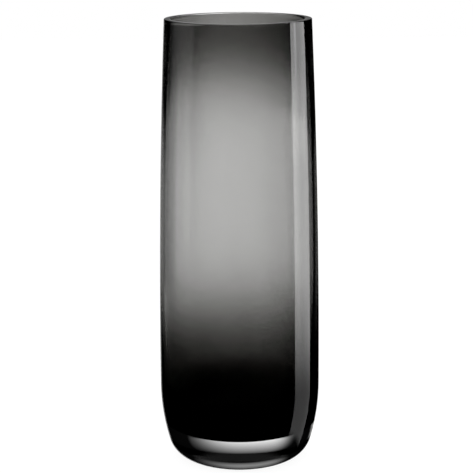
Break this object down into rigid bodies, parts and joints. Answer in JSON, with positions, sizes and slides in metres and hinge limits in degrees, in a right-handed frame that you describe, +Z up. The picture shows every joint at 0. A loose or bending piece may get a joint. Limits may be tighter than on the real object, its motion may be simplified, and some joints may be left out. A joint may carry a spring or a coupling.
{
  "type": "cylinder vase",
  "caption": "Tall, slightly tapered blown-glass cylinder vase with a rounded heel, a thick clear base and a smoke-grey inner layer that fades to pale at the waist.",
  "frame": {"origin": "centre of the foot ring, on the surface the vase stands on", "axes": "+Z up along the vase's axis; the vase is round, so +X and +Y are interchangeable"},
  "size_m": [0.1124, 0.1124, 0.31],
  "materials": {
    "clear_glass": "clear, polished, high gloss",
    "smoke_glass": "smoke grey, high gloss, deepest at the bottom and the rim, palest at the waist"
  },
  "bodies": {
    "root": {"clear_glass_casing": "clear_glass", "smoke_glass_lining": "smoke_glass"}
  },
  "joints": []
}
